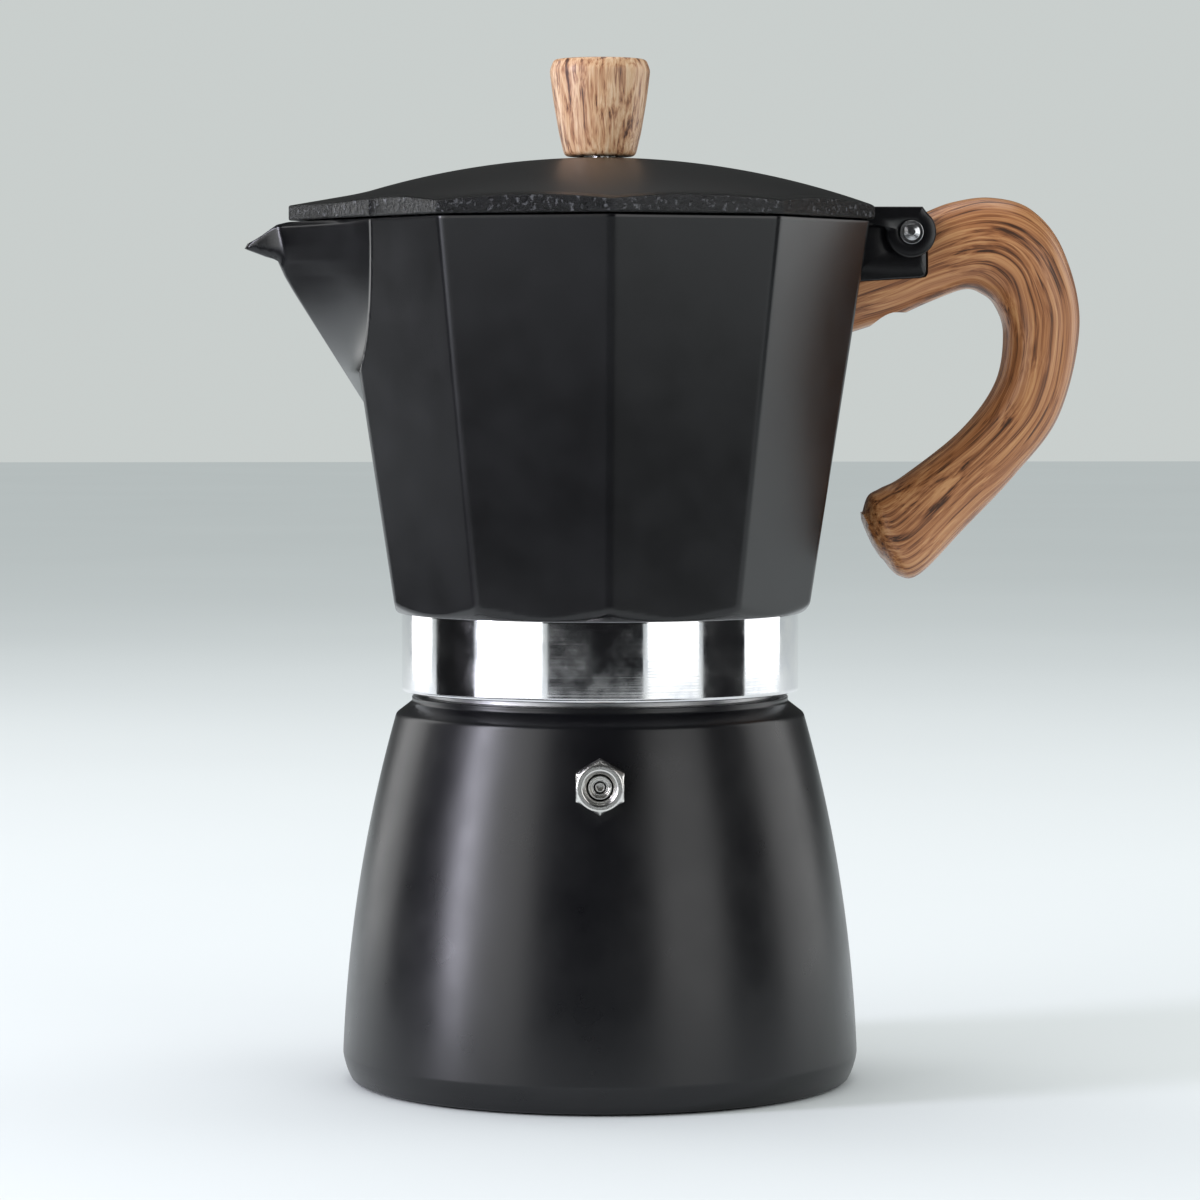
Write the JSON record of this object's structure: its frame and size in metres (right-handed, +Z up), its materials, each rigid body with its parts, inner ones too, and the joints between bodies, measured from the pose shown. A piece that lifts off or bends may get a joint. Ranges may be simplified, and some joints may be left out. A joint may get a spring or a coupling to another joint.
{
  "type": "moka pot",
  "caption": "Stovetop coffee pot: round boiler with safety valve, screwed-on faceted chamber with spout, hinged domed lid with knob, and a hooked handle.",
  "frame": {"origin": "centre of the boiler's flat underside", "axes": "+Z up along the pot's axis; the spout points to -X, the hinge and handle to +X, the safety valve to -Y"},
  "size_m": [0.1633, 0.1096, 0.1996],
  "materials": {
    "black_paint": "black satin coating on cast aluminium",
    "bare_aluminium": "bare drawn or turned aluminium",
    "steel": "bright turned steel",
    "brass": "turned brass",
    "silicone": "matt white silicone",
    "wood_effect": "satin wood-effect surface on heat-resistant moulding",
    "pale_wood_effect": "satin pale wood-effect surface on heat-resistant moulding"
  },
  "bodies": {
    "boiler": {"boiler": "black_paint", "valve_body": "steel", "valve_washer": "silicone", "valve_retainer": "steel", "valve_spring": "steel"},
    "plunger": {"valve_plunger": "brass"},
    "coffee_funnel": {"funnel": "bare_aluminium", "funnel_sieve": "bare_aluminium"},
    "seal": {"gasket": "silicone", "filter_plate": "bare_aluminium"},
    "chamber": {"upper_chamber": "black_paint", "riser_column": "bare_aluminium", "hinge_pin": "steel", "hinge_washer_front": "steel", "hinge_washer_back": "steel", "handle": "wood_effect", "handle_screw": "steel", "handle_washer": "steel"},
    "lid": {"lid": "black_paint", "lid_knob": "pale_wood_effect", "knob_insert": "brass", "knob_screw": "steel", "knob_washer": "steel"}
  },
  "joints": [
    {"name": "chamber_rise", "type": "slide", "parent": "boiler", "child": "seal", "axis": [0, 0, 1], "range_m": [0, 0.00526]},
    {"name": "chamber_unscrew", "type": "hinge", "parent": "seal", "child": "chamber", "pos_m": [0, 0, 0.0814], "axis": [0, 0, 1], "range_deg": [0, 630]},
    {"name": "funnel_rise", "type": "slide", "parent": "boiler", "child": "coffee_funnel", "axis": [0, 0, 1], "range_m": [0, 0.00526]},
    {"name": "lid_hinge", "type": "hinge", "parent": "chamber", "child": "lid", "pos_m": [0.05997, 0, 0.16565], "axis": [0, 1, 0], "range_deg": [0, 100]},
    {"name": "valve_lift", "type": "slide", "parent": "boiler", "child": "plunger", "axis": [-0.0419, -0.9991, 0], "range_m": [0, 0.0012], "stiffness_N_per_m": 800, "springref_m": -0.0015, "deforming": ["valve_spring"]}
  ],
  "couplings": [
    {"joint": "chamber_rise", "follows": "chamber_unscrew", "m_per_rad": 0.00047746},
    {"joint": "funnel_rise", "follows": "chamber_unscrew", "m_per_rad": 0.00047746}
  ]
}
